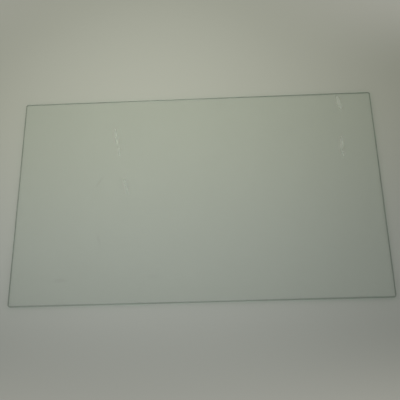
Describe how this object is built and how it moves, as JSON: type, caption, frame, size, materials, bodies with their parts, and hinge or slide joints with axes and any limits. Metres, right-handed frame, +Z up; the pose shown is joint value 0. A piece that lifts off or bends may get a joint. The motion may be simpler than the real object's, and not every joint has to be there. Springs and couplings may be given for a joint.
{
  "type": "fridge glass shelf",
  "caption": "Flat rectangular sheet of clear toughened glass with rounded corners and pencil-ground edges, a shelf that rests on the ledges inside a fridge.",
  "frame": {"origin": "middle of the underside, on the surface that the pane lies on", "axes": "+X along the long edges, +Y from the front edge to the rear edge, +Z up out of the top face"},
  "size_m": [0.475, 0.284, 0.004],
  "materials": {
    "clear_glass": "clear toughened float glass, polished pencil-ground edge, faint use scratches and dried streaks"
  },
  "bodies": {
    "root": {"glass_pane": "clear_glass"}
  },
  "joints": []
}
